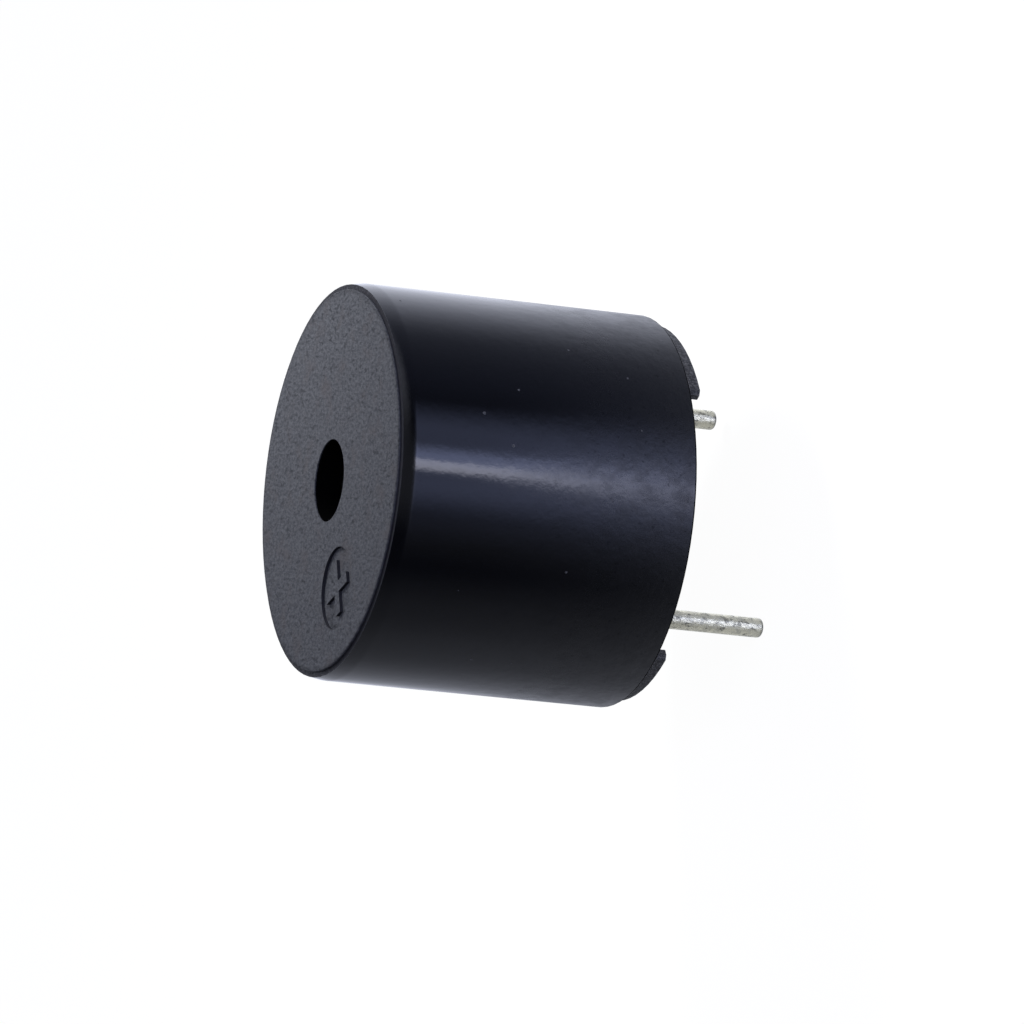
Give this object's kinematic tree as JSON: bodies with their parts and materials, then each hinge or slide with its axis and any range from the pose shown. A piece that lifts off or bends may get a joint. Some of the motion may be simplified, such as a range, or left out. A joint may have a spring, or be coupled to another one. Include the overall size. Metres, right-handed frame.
{
  "type": "magnetic buzzer",
  "caption": "Round board-mounted magnetic buzzer: a black cup with a central sound hole and a raised plus mark, two feet, and a resin-sealed base with two round pins.",
  "frame": {"origin": "on the barrel's axis, in the plane of the feet, which is the top of the circuit board it is soldered to", "axes": "+Z along the barrel's axis, out of the sound hole; +X from the axis to the positive pin; the pins point to -Z"},
  "size_m": [0.012, 0.012, 0.0136],
  "materials": {
    "housing_plastic": "injection moulded black, polished barrel with a spark-eroded matte face and feet",
    "pin_metal": "tinned wire, bright with darker patches",
    "resin_epoxy": "black potting resin, smooth as it set, with a creep up the wall",
    "board_laminate": "bare glass-epoxy laminate, yellow-green with a faint weave",
    "track_copper": "etched copper track",
    "solder": "bright solder",
    "frame_plastic": "natural moulded plastic",
    "magnet_ferrite": "ground ferrite, dark grey",
    "yoke_steel": "punched and nickel-plated soft steel",
    "core_iron": "turned soft iron, plated",
    "diaphragm_steel": "rolled magnetic alloy foil",
    "armature_alloy": "punched magnetic alloy disc",
    "winding_copper": "enamelled copper wire, self-bonded",
    "chip_epoxy": "moulded black epoxy",
    "leg_tin": "tin-plated lead frame",
    "resistor_ceramic": "ceramic chip with a dark glaze"
  },
  "bodies": {
    "root": {"housing": "housing_plastic", "diaphragm": "diaphragm_steel", "armature_disc": "armature_alloy", "support_frame": "frame_plastic", "ring_magnet": "magnet_ferrite", "yoke_plate": "yoke_steel", "pole_core": "core_iron", "drive_winding": "winding_copper", "feedback_winding": "winding_copper", "supply_wire": "winding_copper", "drive_wire": "winding_copper", "feedback_wire": "winding_copper", "supply_wire_solder": "solder", "drive_wire_solder": "solder", "feedback_wire_solder": "solder", "circuit_board": "board_laminate", "supply_track": "track_copper", "ground_track": "track_copper", "collector_track": "track_copper", "base_track": "track_copper", "feedback_track": "track_copper", "transistor_body": "chip_epoxy", "base_leg": "leg_tin", "emitter_leg": "leg_tin", "collector_leg": "leg_tin", "base_solder": "solder", "emitter_solder": "solder", "collector_solder": "solder", "resistor_body": "resistor_ceramic", "input_cap": "leg_tin", "output_cap": "leg_tin", "input_cap_solder": "solder", "output_cap_solder": "solder", "positive_pin": "pin_metal", "negative_pin": "pin_metal", "positive_pin_solder": "solder", "negative_pin_solder": "solder", "sealing_resin": "resin_epoxy"}
  },
  "joints": []
}
